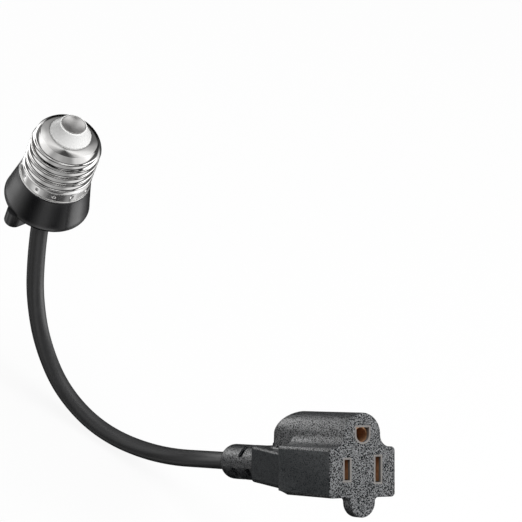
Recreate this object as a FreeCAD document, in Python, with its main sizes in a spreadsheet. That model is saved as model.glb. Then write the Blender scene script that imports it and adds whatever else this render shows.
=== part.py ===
"""Lamp socket adapter: a screw base that fits a lamp holder, a short flexible cord and
a moulded three-hole outlet on its end.

Row frame, in millimetres: the origin is on the screw base's axis, at the middle of the
shell's plain band. +Z runs along that axis to the centre contact, as the adapter stands
when it is screwed up into a lamp holder, and the outlet points towards +X.
"""
import FreeCAD
import Part
import Sketcher
import math
import os

os.makedirs("parts", exist_ok=True)
document = FreeCAD.newDocument("lamp_socket_adapter")

# Driving dimensions, in millimetres and degrees
SIZES = {
    # Screw shell, measured up from the underside of its lip
    "band_radius": 12.75,
    "crest_radius": 12.7,
    "thread_depth": 0.85,
    "thread_pitch": 3.629,
    "thread_start": 2.55,
    "thread_run_out": 2.04,
    "crest_half_width": 1.0,
    "crest_rounding": 1.34,
    "ridge_half_width": 1.46,
    "shell_wall": 0.4,
    "lip_radius": 13.1,
    "lip_thickness": 0.4,
    "band_height": 3.8,
    "band_shoulder": 0.7,
    "shell_height": 22.6,
    "dome_height": 5.4,
    "dome_rounding": 8.84,
    "dome_edge_radius": 10.4,
    "dome_edge_drop": 1.5,
    "dome_rim_width": 0.6,
    "mouth_radius": 7.6,
    "punch_count": 12,
    "punch_radius": 0.5,
    "punch_depth": 0.25,
    "punch_height": 2.6,
    # White base core inside the shell
    "core_clearance": 0.15,
    "core_wall": 1.7,
    "ceiling_depth": 7.1,
    "tip_radius": 4.8,
    "tip_rise": 4.4,
    "core_foot": 5.0,
    "snap_height": 0.8,
    "snap_depth": 0.4,
    "rivet_clearance": 0.05,
    # Centre contact
    "contact_radius": 4.4,
    "contact_rise": 0.2,
    "contact_seat_depth": 1.4,
    "dish_depth": 1.25,
    "dish_rim": 0.25,
    "rivet_radius": 1.5,
    "rivet_flare": 1.0,
    "rivet_flare_height": 0.7,
    # Terminals and their straps
    "strap_thickness": 0.5,
    "strap_width": 3.0,
    "live_ring_radius": 3.2,
    "live_strap_reach": 6.7,
    "live_strap_drop": 4.5,
    "neutral_strap_height": 8.0,
    "neutral_strap_radius": 8.7,
    "neutral_strap_drop": 5.5,
    "window_margin": 0.15,
    # Black collar
    "collar_height": 13.6,
    "collar_top_radius": 13.35,
    "collar_top_rounding": 0.4,
    "collar_foot_radius": 15.8,
    "collar_foot_rounding": 1.7,
    "collar_neck": 4.1,
    "collar_chamber_radius": 12.4,
    "lug_turn": -79.0,
    "lug_half_width": 3.3,
    "lug_length": 5.5,
    "lug_drop": 5.0,
    "lug_root": 1.4,
    "lug_centre_offset": 0.4,
    "lug_rounding": 0.9,
    # Cap that closes the collar, and the ring crimped on the cord above it
    "cap_radius": 13.35,
    "cap_thickness": 1.8,
    "cap_clearance": 0.05,
    "cap_boss_radius": 5.2,
    "cap_boss_height": 3.8,
    "cord_clearance": 0.1,
    "anchor_radius": 4.7,
    "anchor_height": 3.0,
    # Cord and the three insulated leads in it
    "cord_diameter": 6.6,
    "sheath_entry": 1.6,
    "lead_radius": 1.0,
    "lead_ring": 1.16,
    "end_cap_radius": 1.6,
    "end_cap_length": 6.0,
    "end_cap_grip": 3.5,
    "end_cap_room": 0.9,
    "spare_lead_side": 5.5,
    # Outlet, measured from the middle between its blade slots on the face
    "outlet_x": 143.8,
    "outlet_y": 51.7,
    "outlet_z": -6.6,
    "outlet_lean": 37.3,
    "outlet_roll": 77.6,
    "face_half_width": 13.55,
    "face_bottom": 9.5,
    "face_step": 7.7,
    "face_corner": 1.4,
    "arch_radius": 7.5,
    "arch_fillet": 4.0,
    "ground_rise": 11.89,
    "block_depth": 33.0,
    "arch_reach": 16.0,
    "arch_back_foot": 7.0,
    "arch_back_lean": 10.5,
    "arch_back_rounding": 4.5,
    "block_ramp_run": 5.0,
    "neck_front_half_width": 12.9,
    "neck_front_top": 5.0,
    "neck_front_bottom": 7.9,
    "neck_depth": 59.5,
    "neck_end_half_width": 7.9,
    "neck_end_half_height": 6.6,
    "neck_bevel": 1.5,
    "tab_half_width": 5.25,
    "tab_drop": 16.3,
    "tab_depth": 4.6,
    "tab_fillet": 1.4,
    # Slotted strain relief behind the neck
    "relief_radius": 6.5,
    "relief_end": 86.0,
    "relief_rounding": 2.8,
    "slot_margin": 1.2,
    "slot_pitch": 4.95,
    "slot_width": 2.8,
    "slot_depth": 2.3,
    "slot_angle": 142.0,
    "slot_land": 3.0,
    # Blade slots, ground hole and the contact carrier
    "blade_spacing": 12.7,
    "slot_thickness": 2.2,
    "live_slot_height": 7.0,
    "neutral_slot_height": 8.7,
    "ground_hole_radius": 2.6,
    "ground_hole_top": 2.5,
    "slot_border": 0.65,
    "front_wall": 1.2,
    "carrier_half_width": 11.2,
    "carrier_bottom": 7.0,
    "carrier_step": 5.6,
    "carrier_arch_radius": 5.6,
    "carrier_depth": 28.0,
    "cover_thickness": 1.5,
    "blade_pocket_width": 4.6,
    "pocket_margin": 0.4,
    "ground_pocket_radius": 3.3,
    "lead_hole_margin": 0.15,
    # Contacts
    "contact_sheet": 0.45,
    "contact_front": 1.5,
    "contact_mouth_gap": 1.25,
    "contact_pinch_gap": 0.6,
    "contact_pinch_depth": 7.0,
    "contact_back_gap": 0.85,
    "contact_back_depth": 17.5,
    "crimp_room": 2.0,
    "crimp_length": 6.0,
    "crimp_wall": 0.4,
    "ground_sleeve_radius": 2.4,
    "ground_sleeve_length": 13.0,
    # Wire spaces moulded into the outlet
    "wire_space_radius": 7.9,
    "wire_space_waist": 36.0,
    "wire_bore_radius": 2.6,
    "wire_bore_start": 50.0,
    "sheath_end": 73.5,
    "cord_bend": 96.0,
}

sheet = document.addObject("Spreadsheet::Sheet", "sizes")
for line, (name, number) in enumerate(SIZES.items(), start=1):
    sheet.set("A%d" % line, name.replace("_", " "))
    sheet.set("B%d" % line, str(number))
    sheet.setAlias("B%d" % line, name)
document.recompute()


class Size:
    """A number with the expression that keeps it tied to the sheet."""

    def __init__(self, text, number):
        self.text = text
        self.number = number

    def __add__(self, other):
        other = as_size(other)
        return Size("(%s + %s)" % (self.text, other.text), self.number + other.number)

    def __sub__(self, other):
        other = as_size(other)
        return Size("(%s - %s)" % (self.text, other.text), self.number - other.number)

    def __mul__(self, other):
        other = as_size(other)
        return Size("(%s * %s)" % (self.text, other.text), self.number * other.number)

    def __truediv__(self, other):
        other = as_size(other)
        return Size("(%s / %s)" % (self.text, other.text), self.number / other.number)

    def __neg__(self):
        return Size("(0 - %s)" % self.text, -self.number)

    def __float__(self):
        return float(self.number)


def as_size(value):
    if isinstance(value, Size):
        return value
    return Size(repr(value), value)


def root(value):
    return Size("sqrt(%s)" % value.text, math.sqrt(value.number))


def size(name):
    return Size("sizes." + name, sheet.get(name))


# Places worked out from the driving dimensions

root_radius = size("crest_radius") - size("thread_depth")
bore_radius = root_radius - size("shell_wall")
band_top = size("lip_thickness") + size("band_height")
band_middle = size("lip_thickness") + size("band_height") / 2
band_bore_radius = size("band_radius") - size("shell_wall")
dome_start = size("shell_height") - size("dome_height")
dome_edge_height = size("shell_height") - size("dome_edge_drop")
tip_height = size("shell_height") + size("tip_rise")
contact_height = tip_height + size("contact_rise")
contact_seat = tip_height - size("contact_seat_depth")
core_ceiling = size("shell_height") - size("ceiling_depth")
core_radius = bore_radius - size("core_clearance")
core_bore_radius = core_radius - size("core_wall")
collar_bore_radius = core_radius + size("core_clearance")
cord_radius = size("cord_diameter") / 2
cap_top = size("cap_thickness") - size("collar_height")
boss_top = cap_top + size("cap_boss_height")
anchor_top = boss_top + size("anchor_height")
sheath_top = anchor_top + size("sheath_entry")
end_cap_base = core_ceiling - size("end_cap_room") - size("end_cap_length")
arch_depth = size("block_depth") + size("arch_reach")
carrier_back = size("carrier_depth") + size("cover_thickness")
crimp_front = size("carrier_depth") - size("crimp_room") - size("crimp_length")
half_spacing = size("blade_spacing") / 2
crimp_outer_radius = size("lead_radius") + size("crimp_wall")

z_axis = FreeCAD.Vector(0, 0, 1)
y_axis = FreeCAD.Vector(0, 1, 0)

head_place = FreeCAD.Placement(FreeCAD.Vector(0, 0, -float(band_middle)), FreeCAD.Rotation())
collar_place = FreeCAD.Placement(head_place.Base, FreeCAD.Rotation(z_axis, float(size("lug_turn"))))
outlet_turn = FreeCAD.Rotation(y_axis, float(size("outlet_lean"))).multiply(
    FreeCAD.Rotation(z_axis, float(size("outlet_roll"))))
outlet_base = FreeCAD.Vector(*[float(size("outlet_" + axis)) for axis in "xyz"])
outlet_place = FreeCAD.Placement(outlet_base, outlet_turn)

parts = {}


# Bodies, sketches and features

def new_body(name, place):
    body = document.addObject("PartDesign::Body", name)
    body.Label = name
    body.Placement = place
    parts[name] = body
    return body


def new_sketch(body, name, role, offset=None):
    """A sketch on one of the body's own planes, moved along that plane's normal by offset."""
    sketch = body.newObject("Sketcher::SketchObject", name)
    plane = [item for item in body.Origin.OriginFeatures if item.Role == role][0]
    sketch.AttachmentSupport = [(plane, "")]
    sketch.MapMode = "FlatFace"
    if offset is not None:
        sketch.setExpression("AttachmentOffset.Base.z", offset.text)
    return sketch


def tie(sketch, kind, geometry, position, value):
    """Add a dimension to a sketch and bind it to the sheet."""
    value = as_size(value)
    if position is None:
        number = sketch.addConstraint(Sketcher.Constraint(kind, geometry, float(value)))
    else:
        number = sketch.addConstraint(Sketcher.Constraint(kind, geometry, position, float(value)))
    if "sizes." in value.text:
        sketch.setExpression("Constraints[%d]" % number, value.text)


def draw(sketch, outline):
    """Draw a closed outline of lines and arcs.

    Each entry is the corner that an edge arrives at. Two numbers make a line, and four
    make an arc: x, y, its radius and +1 where it turns left or -1 where it turns right.
    """
    count = len(outline)
    ends = []
    for index in range(count):
        first = outline[index]
        second = outline[(index + 1) % count]
        start = FreeCAD.Vector(float(first[0]), float(first[1]), 0)
        end = FreeCAD.Vector(float(second[0]), float(second[1]), 0)
        if len(second) == 2:
            number = sketch.addGeometry(Part.LineSegment(start, end), False)
            ends.append((number, 1, 2))
            continue
        radius = float(second[2])
        side = second[3]
        chord = end - start
        across = FreeCAD.Vector(-chord.y, chord.x, 0).normalize()
        reach = math.sqrt(max(radius ** 2 - chord.Length ** 2 / 4, 0))
        centre = (start + end) / 2 + across * (side * reach)
        circle = Part.Circle(centre, z_axis, radius)
        angles = [math.atan2(point.y - centre.y, point.x - centre.x) for point in (start, end)]
        if side < 0:
            angles.reverse()
        if angles[1] < angles[0]:
            angles[1] += 2 * math.pi
        number = sketch.addGeometry(Part.ArcOfCircle(circle, angles[0], angles[1]), False)
        ends.append((number, 1, 2) if side > 0 else (number, 2, 1))
    for index in range(count):
        number, first_end, last_end = ends[index]
        following = ends[(index + 1) % count]
        joint = Sketcher.Constraint("Coincident", number, last_end, following[0], following[1])
        sketch.addConstraint(joint)
    for index in range(count):
        number, first_end, last_end = ends[index]
        tie(sketch, "DistanceX", number, first_end, outline[index][0])
        tie(sketch, "DistanceY", number, first_end, outline[index][1])
        following = outline[(index + 1) % count]
        if len(following) == 4:
            tie(sketch, "Radius", number, None, following[2])


def draw_circle(sketch, x, y, radius):
    centre = FreeCAD.Vector(float(as_size(x)), float(as_size(y)), 0)
    number = sketch.addGeometry(Part.Circle(centre, z_axis, float(radius)), False)
    tie(sketch, "DistanceX", number, 3, x)
    tie(sketch, "DistanceY", number, 3, y)
    tie(sketch, "Radius", number, None, radius)


def box_outline(left, right, bottom, top):
    return [(left, bottom), (right, bottom), (right, top), (left, top)]


def add_feature(body, kind, name, sketch):
    feature = body.newObject("PartDesign::" + kind, name)
    feature.Profile = sketch
    return feature


def turn(body, kind, name, sketch, angle=None):
    """Revolve or groove a sketch about its own upright axis."""
    feature = add_feature(body, kind, name, sketch)
    feature.ReferenceAxis = (sketch, ["V_Axis"])
    feature.Angle = 360
    if angle is not None:
        feature.Midplane = True
        feature.setExpression("Angle", angle.text)
    return feature


def push(body, kind, name, sketch, length, reverse=False, both=False):
    """Pad or pocket a sketch by a length bound to the sheet."""
    feature = add_feature(body, kind, name, sketch)
    feature.setExpression("Length", as_size(length).text)
    feature.Reversed = reverse
    feature.Midplane = both
    return feature


def full_turn(body, name, outline, kind="Revolution"):
    sketch = new_sketch(body, name + "_outline", "XZ_Plane")
    draw(sketch, outline)
    return turn(body, kind, name, sketch)


def soft_edges(body, name, test, radius):
    """Round the edges whose bounding box passes a test, by a radius given as an expression."""
    base = body.Tip
    edges = ["Edge%d" % (index + 1) for index, edge in enumerate(base.Shape.Edges)
             if test(edge.BoundBox)]
    rounding = body.newObject("PartDesign::Fillet", name)
    rounding.Base = (base, edges)
    rounding.setExpression("Radius", radius)
    body.Tip = rounding


# Head pieces

def make_screw_shell():
    """The rolled shell: lip, plain band, screw thread and dome in one piece."""
    body = new_body("screw_shell", head_place)
    crest = size("crest_radius")
    step = size("dome_rim_width")
    full_turn(body, "shell_blank", [
        (0, 0),
        (size("lip_radius"), 0),
        (size("lip_radius"), size("lip_thickness")),
        (size("band_radius"), size("lip_thickness")),
        (size("band_radius"), band_top),
        (root_radius, band_top + size("band_shoulder")),
        (root_radius, dome_start),
        (size("dome_edge_radius") - step, dome_edge_height - step,
         size("dome_rounding") * 0.7, 1),
        (size("dome_edge_radius"), dome_edge_height),
        (size("mouth_radius"), size("shell_height"), size("dome_rounding"), 1),
        (0, size("shell_height")),
    ])
    start = size("thread_start")
    half = size("ridge_half_width")
    crown = size("crest_half_width")
    inner = bore_radius * 0.8
    flat = crest - (size("crest_rounding")
                    - root(size("crest_rounding") * size("crest_rounding") - crown * crown))
    ridge = new_sketch(body, "thread_ridge", "XZ_Plane")
    draw(ridge, [
        (inner, start - half),
        (root_radius, start - half),
        (flat, start - crown),
        (flat, start + crown, size("crest_rounding"), 1),
        (root_radius, start + half),
        (inner, start + half),
    ])
    thread = add_feature(body, "AdditiveHelix", "thread", ridge)
    thread.ReferenceAxis = (ridge, ["V_Axis"])
    thread.Mode = 1
    thread.setExpression("Pitch", "sizes.thread_pitch")
    run = dome_start + size("thread_run_out") - start
    thread.setExpression("Turns", (run / size("thread_pitch")).text)
    above = size("shell_height") + 1
    beyond = size("lip_radius") + 1
    full_turn(body, "dome_shape", [
        (crest - 0.1, dome_start),
        (size("dome_edge_radius"), dome_edge_height, size("dome_rounding"), 1),
        (size("dome_edge_radius"), above),
        (beyond, above),
        (beyond, dome_start - size("thread_pitch")),
        (crest + 0.02, dome_start - size("thread_pitch")),
    ], "Groove")
    full_turn(body, "shell_hollow", [
        (0, -1),
        (band_bore_radius, -1),
        (band_bore_radius, band_top - size("shell_wall")),
        (bore_radius, band_top + size("band_shoulder") - size("shell_wall")),
        (bore_radius, dome_start - size("shell_wall") * 1.5),
        (size("mouth_radius"), size("shell_height") - size("shell_wall") * 1.7,
         size("dome_rounding") * 0.84, 1),
        (size("mouth_radius"), above),
        (0, above),
    ], "Groove")
    punch = new_sketch(body, "punch_mark", "YZ_Plane", size("band_radius") + 1)
    draw_circle(punch, 0, size("punch_height"), size("punch_radius"))
    mark = push(body, "Pocket", "punch", punch, size("punch_depth") + 1)
    document.recompute()
    marks = body.newObject("PartDesign::PolarPattern", "punch_ring")
    marks.Originals = [mark]
    upright = [item for item in body.Origin.OriginFeatures if item.Role == "Z_Axis"][0]
    marks.Axis = (upright, [""])
    marks.Angle = 360
    marks.setExpression("Occurrences", "sizes.punch_count")
    body.Tip = marks


def make_base_core():
    """The white moulding whose tip shows above the shell and whose tube carries it."""
    body = new_body("base_core", head_place)
    gap = size("core_clearance")
    seat = band_bore_radius - gap
    neck = size("mouth_radius") - gap
    foot = -size("core_foot")
    hole = size("rivet_radius") + size("rivet_clearance")
    full_turn(body, "core", [
        (hole, core_ceiling),
        (core_bore_radius, core_ceiling),
        (core_bore_radius, foot),
        (core_radius, foot),
        (core_radius + size("snap_depth"), foot + size("snap_height") / 2),
        (core_radius, foot + size("snap_height")),
        (core_radius, 0),
        (seat, 0),
        (seat, band_top - size("shell_wall") - gap),
        (core_radius, band_top + size("band_shoulder") - size("shell_wall") - gap),
        (core_radius, dome_start - size("shell_wall") * 2),
        (neck, size("shell_height") - size("shell_wall") * 2),
        (neck, size("shell_height")),
        (size("tip_radius"), tip_height),
        (size("contact_radius") + size("rivet_clearance"), tip_height),
        (size("contact_radius") + size("rivet_clearance"), contact_seat),
        (hole, contact_seat),
    ])
    margin = size("window_margin")
    window = new_sketch(body, "strap_window", "YZ_Plane", core_bore_radius - 1)
    half = size("strap_width") / 2 + margin
    draw(window, box_outline(
        -half, half, size("neutral_strap_height") - margin,
        size("neutral_strap_height") + size("strap_thickness") + margin))
    push(body, "Pocket", "window", window, size("core_wall") + 2, reverse=True)


def make_centre_contact():
    """The dished rivet that takes the current at the tip."""
    body = new_body("centre_contact", head_place)
    rim = size("contact_radius") - size("dish_rim")
    depth = size("dish_depth")
    seat = core_ceiling - size("strap_thickness")
    full_turn(body, "rivet", [
        (0, contact_height - depth),
        (rim, contact_height, (rim * rim + depth * depth) / (depth * 2), 1),
        (size("contact_radius"), contact_height),
        (size("contact_radius"), contact_seat),
        (size("rivet_radius"), contact_seat),
        (size("rivet_radius"), seat),
        (size("rivet_radius") + size("rivet_flare"), seat),
        (size("rivet_radius"), seat - size("rivet_flare_height")),
        (0, seat - size("rivet_flare_height")),
    ])


def make_live_terminal():
    """The ring under the rivet's flare, with a strap that the live lead is soldered to."""
    body = new_body("live_terminal", head_place)
    base = core_ceiling - size("strap_thickness")
    half = size("strap_width") / 2
    ring = new_sketch(body, "ring_outline", "XY_Plane", base)
    draw_circle(ring, 0, 0, size("live_ring_radius"))
    draw_circle(ring, 0, 0, size("rivet_radius") + size("rivet_clearance"))
    push(body, "Pad", "ring", ring, size("strap_thickness"))
    arm = new_sketch(body, "arm_outline", "XY_Plane", base)
    draw(arm, box_outline(
        -size("live_strap_reach"), -(size("live_ring_radius") - size("strap_thickness")),
        -half, half))
    push(body, "Pad", "arm", arm, size("strap_thickness"))
    leg = new_sketch(body, "leg_outline", "XZ_Plane")
    draw(leg, box_outline(
        -size("live_strap_reach"), size("strap_thickness") - size("live_strap_reach"),
        base - size("live_strap_drop"), base + size("strap_thickness") / 2))
    push(body, "Pad", "leg", leg, size("strap_width"), both=True)


def make_neutral_terminal():
    """The strap that reaches through the core's window to the shell."""
    body = new_body("neutral_terminal", head_place)
    low = size("neutral_strap_height")
    high = low + size("strap_thickness")
    inner = size("neutral_strap_radius")
    strap = new_sketch(body, "strap_outline", "XZ_Plane")
    draw(strap, [
        (inner, low - size("neutral_strap_drop")),
        (inner + size("strap_thickness"), low - size("neutral_strap_drop")),
        (inner + size("strap_thickness"), low),
        (bore_radius - size("core_clearance"), low),
        (bore_radius - size("core_clearance"), high),
        (inner, high),
    ])
    push(body, "Pad", "strap", strap, size("strap_width"), both=True)


def make_collar():
    """The black flared collar, with its neck, wiring chamber and underside lug."""
    body = new_body("collar", collar_place)
    foot = -size("collar_height")
    top = size("collar_top_radius")
    round_top = size("collar_top_rounding")
    round_foot = size("collar_foot_rounding")
    seat = size("cap_radius") + size("cap_clearance")
    chamber = size("collar_chamber_radius")
    full_turn(body, "collar_ring", [
        (collar_bore_radius, 0),
        (collar_bore_radius, -size("collar_neck")),
        (chamber, -size("collar_neck")),
        (chamber, cap_top),
        (seat, cap_top),
        (seat, foot),
        (size("collar_foot_radius") - round_foot, foot),
        (size("collar_foot_radius"), foot + round_foot, round_foot, 1),
        (top, -round_top),
        (top - round_top, 0, round_top, 1),
    ])
    low = foot - size("lug_drop")
    wide = size("lug_half_width")
    centre = seat + size("lug_centre_offset")
    inner = centre - size("lug_length")
    lug = new_sketch(body, "lug_outline", "XY_Plane", low)
    draw(lug, [
        (inner, -wide, wide, 1),
        (centre, -wide),
        (centre + wide, 0, wide, 1),
        (centre, wide, wide, 1),
        (inner, wide),
        (inner - wide, 0, wide, 1),
    ])
    push(body, "Pad", "lug", lug, size("lug_drop") - size("cap_clearance"))
    root_face = new_sketch(body, "lug_root_outline", "XY_Plane", low)
    draw(root_face, [(centre, -wide), (centre + wide, 0, wide, 1), (centre, wide, wide, 1)])
    push(body, "Pad", "lug_root", root_face, size("lug_drop") + size("lug_root"))
    document.recompute()
    soft_edges(body, "lug_foot", lambda box: abs(box.ZMax - float(low)) < 1e-4,
               "min(sizes.lug_rounding; sizes.lug_half_width * 0.4; sizes.lug_drop * 0.4)")


def make_collar_cap():
    """The plate that closes the collar, with a boss round the cord."""
    hole = cord_radius + size("cord_clearance")
    body = new_body("collar_cap", head_place)
    full_turn(body, "cap", [
        (hole, -size("collar_height")),
        (size("cap_radius"), -size("collar_height")),
        (size("cap_radius"), cap_top),
        (size("cap_boss_radius"), cap_top),
        (size("cap_boss_radius"), boss_top),
        (hole, boss_top),
    ])


def make_cord_anchor():
    """The ring crimped on the sheath, which stops the cord at the cap's boss."""
    body = new_body("cord_anchor", head_place)
    full_turn(body, "anchor", [
        (cord_radius, boss_top),
        (size("anchor_radius"), boss_top),
        (size("anchor_radius"), anchor_top),
        (cord_radius, anchor_top),
    ])


# Outlet pieces

def face_outline():
    """The outlet's face: a flat block with an arch for the ground hole."""
    width = size("face_half_width")
    low = -size("face_bottom")
    step = size("face_step")
    corner = size("face_corner")
    fillet = size("arch_fillet")
    rise = size("ground_rise")
    arch = size("arch_radius")
    lift = step + fillet - rise
    middle = root((arch + fillet) * (arch + fillet) - lift * lift)
    share = arch / (arch + fillet)
    return [
        (corner - width, low, corner, 1),
        (width - corner, low),
        (width, low + corner, corner, 1),
        (width, step - corner),
        (width - corner, step, corner, 1),
        (middle, step),
        (middle * share, rise + lift * share, fillet, -1),
        (0, rise + arch, arch, 1),
        (-(middle * share), rise + lift * share, arch, 1),
        (-middle, step, fillet, -1),
        (corner - width, step),
        (-width, step - corner, corner, 1),
        (-width, low + corner),
    ]


def slot_outline(centre, height, border):
    half = size("slot_thickness") / 2 + border
    tall = height / 2 + border
    return box_outline(centre - half, centre + half, -tall, tall)


def ground_outline(border):
    """The ground hole: flat on top and round below."""
    wide = size("ground_hole_radius") + border
    rise = size("ground_rise")
    top = rise + size("ground_hole_top") + border
    return [(-wide, top), (-wide, rise), (0, rise - wide, wide, 1), (wide, rise, wide, 1),
            (wide, top)]


def openings(border):
    return {
        "live": slot_outline(-half_spacing, size("live_slot_height"), border),
        "neutral": slot_outline(half_spacing, size("neutral_slot_height"), border),
        "ground": ground_outline(border),
    }


def carrier_outline():
    wide = size("carrier_half_width")
    arch = size("carrier_arch_radius")
    step = size("carrier_step")
    rise = size("ground_rise")
    return [
        (-wide, -size("carrier_bottom")),
        (wide, -size("carrier_bottom")),
        (wide, step),
        (arch, step),
        (arch, rise),
        (0, rise + arch, arch, 1),
        (-arch, rise, arch, 1),
        (-arch, step),
        (-wide, step),
    ]


def bevelled_outline(half_width, low, high, bevel):
    return [
        (bevel - half_width, low),
        (half_width - bevel, low),
        (half_width, low + bevel),
        (half_width, high - bevel),
        (half_width - bevel, high),
        (bevel - half_width, high),
        (-half_width, high - bevel),
        (-half_width, low + bevel),
    ]


def make_outlet_housing():
    """The moulded outlet: block, arch, pull tab, neck and slotted strain relief."""
    body = new_body("outlet_housing", outlet_place)
    face = new_sketch(body, "face_outline", "XY_Plane")
    draw(face, face_outline())
    push(body, "Pad", "block", face, size("block_depth"), reverse=True)

    arch = size("arch_radius")
    hump = new_sketch(body, "arch_outline", "XY_Plane", -size("block_depth"))
    rise = size("ground_rise")
    draw(hump, [(-arch, 2), (arch, 2), (arch, rise), (0, rise + arch, arch, 1),
                (-arch, rise, arch, 1)])
    push(body, "Pad", "arch", hump, size("arch_reach"), reverse=True)
    foot = size("arch_back_foot")
    height = rise + arch + 1 - foot
    lean = size("arch_back_lean")
    bow = (height * height + lean * lean) / (lean * 2)
    behind = -arch_depth
    fall = new_sketch(body, "arch_back_outline", "YZ_Plane")
    draw(fall, [
        (foot, behind - 1),
        (foot + height, behind - 1),
        (foot + height, behind + lean),
        (foot, behind, bow, 1),
    ])
    push(body, "Pocket", "arch_back", fall, arch * 2 + 2, both=True)
    document.recompute()
    limit = -float(size("block_depth")) - 0.1
    soft_edges(body, "arch_back_rim",
               lambda box: box.ZMax < limit and box.YMax > 2.1
               and max(box.YLength, box.ZLength) > 1e-3,
               "min(sizes.arch_back_rounding; sizes.arch_radius * 0.8; "
               "(sizes.arch_reach - sizes.arch_back_lean) * 0.9)")

    tab = size("tab_half_width")
    blend = size("tab_fillet")
    low = -size("face_bottom")
    centre = tab - size("tab_drop")
    flap = new_sketch(body, "tab_outline", "XY_Plane")
    draw(flap, [
        (-tab - blend, low + 1),
        (-tab - blend, low),
        (-tab, low - blend, blend, -1),
        (-tab, centre),
        (0, centre - tab, tab, 1),
        (tab, centre, tab, 1),
        (tab, low - blend),
        (tab + blend, low, blend, -1),
        (tab + blend, low + 1),
    ])
    push(body, "Pad", "tab", flap, size("tab_depth"), reverse=True)

    ramp = new_sketch(body, "ramp_outline", "YZ_Plane")
    draw(ramp, [
        (low, size("block_ramp_run") - size("block_depth")),
        (low - 1, size("block_ramp_run") - size("block_depth")),
        (low - 1, -size("block_depth") - 1),
        (-size("neck_front_bottom"), -size("block_depth") - 1),
        (-size("neck_front_bottom"), -size("block_depth")),
    ])
    push(body, "Pocket", "ramp", ramp, size("face_half_width") * 2 + 4, both=True)

    front = new_sketch(body, "neck_front", "XY_Plane", -size("block_depth") + 1)
    draw(front, bevelled_outline(
        size("neck_front_half_width"), -size("neck_front_bottom"), size("neck_front_top"),
        size("neck_bevel")))
    end = new_sketch(body, "neck_end", "XY_Plane", -size("neck_depth"))
    draw(end, bevelled_outline(
        size("neck_end_half_width"), -size("neck_end_half_height"),
        size("neck_end_half_height"), size("neck_bevel")))
    neck = add_feature(body, "AdditiveLoft", "neck", front)
    neck.Sections = [end]
    neck.Ruled = True

    bend = size("relief_rounding")
    full_turn(body, "strain_relief", [
        (0, -size("neck_depth") + 1),
        (size("relief_radius"), -size("neck_depth") + 1),
        (size("relief_radius"), bend - size("relief_end")),
        (size("relief_radius") - bend, -size("relief_end"), bend, -1),
        (0, -size("relief_end")),
    ])

    deep = size("relief_radius") - size("slot_depth")
    outer = size("relief_radius") + 2
    last = size("relief_end") - bend - size("slot_land")
    middle = size("neck_depth") + size("slot_margin")
    number = 0
    while float(middle + size("slot_width") / 2) < float(last):
        near = size("slot_width") / 2 - middle
        far = -middle - size("slot_width") / 2
        cut = new_sketch(body, "relief_slot_%d" % (number + 1), "YZ_Plane")
        if number % 2 == 0:
            draw(cut, box_outline(deep, outer, far, near))
        else:
            draw(cut, box_outline(-outer, -deep, far, near))
        turn(body, "Groove", "relief_groove_%d" % (number + 1), cut, size("slot_angle"))
        number += 1
        middle = middle + size("slot_pitch")

    seat = new_sketch(body, "carrier_seat", "XY_Plane", -size("front_wall"))
    draw(seat, carrier_outline())
    push(body, "Pocket", "carrier_space", seat, carrier_back - size("front_wall"))
    for name, outline in openings(size("slot_border")).items():
        hole = new_sketch(body, name + "_opening", "XY_Plane")
        draw(hole, outline)
        push(body, "Pocket", name + "_mouth", hole, size("front_wall"))

    full_turn(body, "wire_space", [
        (0, -carrier_back),
        (size("wire_space_radius"), -carrier_back),
        (size("wire_space_radius") * 0.8, -size("wire_space_waist")),
        (size("wire_bore_radius"), -size("wire_bore_start")),
        (size("wire_bore_radius"), -size("sheath_end")),
        (cord_radius, -size("sheath_end")),
        (cord_radius, -size("relief_end") - 1),
        (0, -size("relief_end") - 1),
    ], "Groove")
    channel = size("lead_radius") + 0.3
    chute = new_sketch(body, "ground_chute_outline", "YZ_Plane")
    draw(chute, [
        (0, -carrier_back),
        (rise + channel, -carrier_back),
        (rise + channel, -carrier_back - channel * 2),
        (size("wire_bore_radius"), -size("wire_space_waist") - 6.2),
        (0, -size("wire_space_waist") - 6.2),
    ])
    push(body, "Pocket", "ground_chute", chute, channel * 2, both=True)


def make_contact_carrier():
    """The insulating block that holds the three contacts, with rims flush with the face."""
    body = new_body("contact_carrier", outlet_place)
    front = -size("front_wall")
    block = new_sketch(body, "block_outline", "XY_Plane", front)
    draw(block, carrier_outline())
    push(body, "Pad", "block", block, size("carrier_depth") - size("front_wall"), reverse=True)
    for name, outline in openings(size("slot_border")).items():
        rim = new_sketch(body, name + "_rim_outline", "XY_Plane")
        draw(rim, outline)
        push(body, "Pad", name + "_rim", rim, size("front_wall"), reverse=True)
    for name, outline in openings(as_size(0)).items():
        slot = new_sketch(body, name + "_slot_outline", "XY_Plane")
        draw(slot, outline)
        push(body, "Pocket", name + "_slot", slot, size("front_wall"))
    half = size("blade_pocket_width") / 2
    length = size("carrier_depth") - size("front_wall")
    for name, centre in (("live", -half_spacing), ("neutral", half_spacing)):
        tall = size(name + "_slot_height") / 2 + size("pocket_margin")
        pocket = new_sketch(body, name + "_pocket_outline", "XY_Plane", front)
        draw(pocket, box_outline(centre - half, centre + half, -tall, tall))
        push(body, "Pocket", name + "_pocket", pocket, length)
    ground = new_sketch(body, "ground_pocket_outline", "XY_Plane", front)
    draw_circle(ground, 0, size("ground_rise"), size("ground_pocket_radius"))
    push(body, "Pocket", "ground_pocket", ground, length)


def make_carrier_cover():
    """The plate behind the contacts, with a hole for each lead."""
    body = new_body("carrier_cover", outlet_place)
    plate = new_sketch(body, "cover_outline", "XY_Plane", -size("carrier_depth"))
    draw(plate, carrier_outline())
    hole = size("lead_radius") + size("lead_hole_margin")
    draw_circle(plate, -half_spacing, 0, hole)
    draw_circle(plate, half_spacing, 0, hole)
    draw_circle(plate, 0, size("ground_rise"), hole)
    push(body, "Pad", "cover", plate, size("cover_thickness"), reverse=True)


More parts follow.
